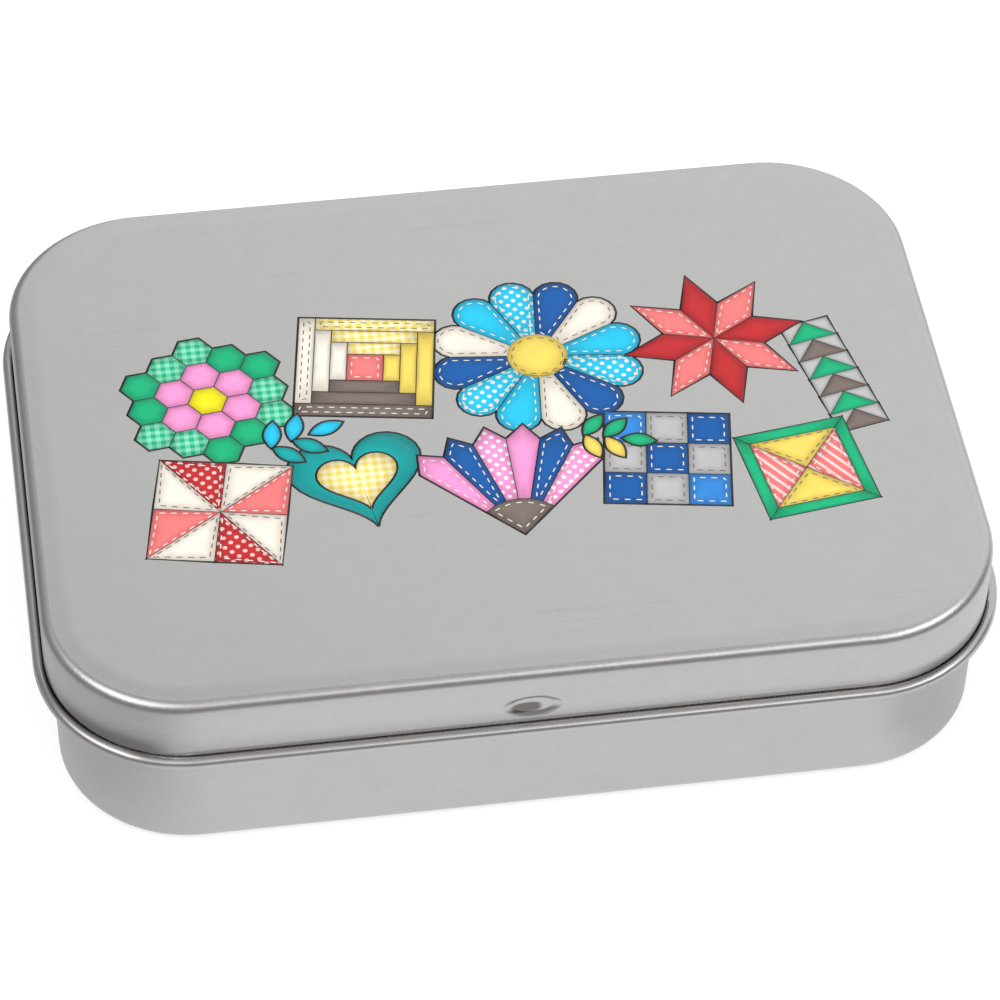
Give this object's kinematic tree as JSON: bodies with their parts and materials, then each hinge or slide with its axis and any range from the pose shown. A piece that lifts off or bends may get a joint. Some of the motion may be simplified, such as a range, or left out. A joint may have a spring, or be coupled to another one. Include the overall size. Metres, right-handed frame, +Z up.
{
  "type": "sewing tin",
  "caption": "Flat pocket tin of thin tinplate with rounded corners, whose hinged lid bears a printed band, for small sewing things.",
  "frame": {"origin": "middle of the rectangle that the tin covers, on the plane that its underside stands on", "axes": "+X to the right along the tin's length, -Y towards the front with the dimple, +Y towards the hinge, +Z up out of the lid"},
  "size_m": [0.113, 0.0839, 0.0246],
  "materials": {
    "tray_tinplate": "satin",
    "lid_tinplate": "satin"
  },
  "bodies": {
    "tray": {"base_tray": "tray_tinplate"},
    "lid": {"lid": "lid_tinplate"}
  },
  "joints": [
    {"name": "lid_hinge", "type": "hinge", "parent": "tray", "child": "lid", "pos_m": [0, 0.04105, 0.01575], "axis": [-1, 0, 0], "range_deg": [0, 110]}
  ]
}
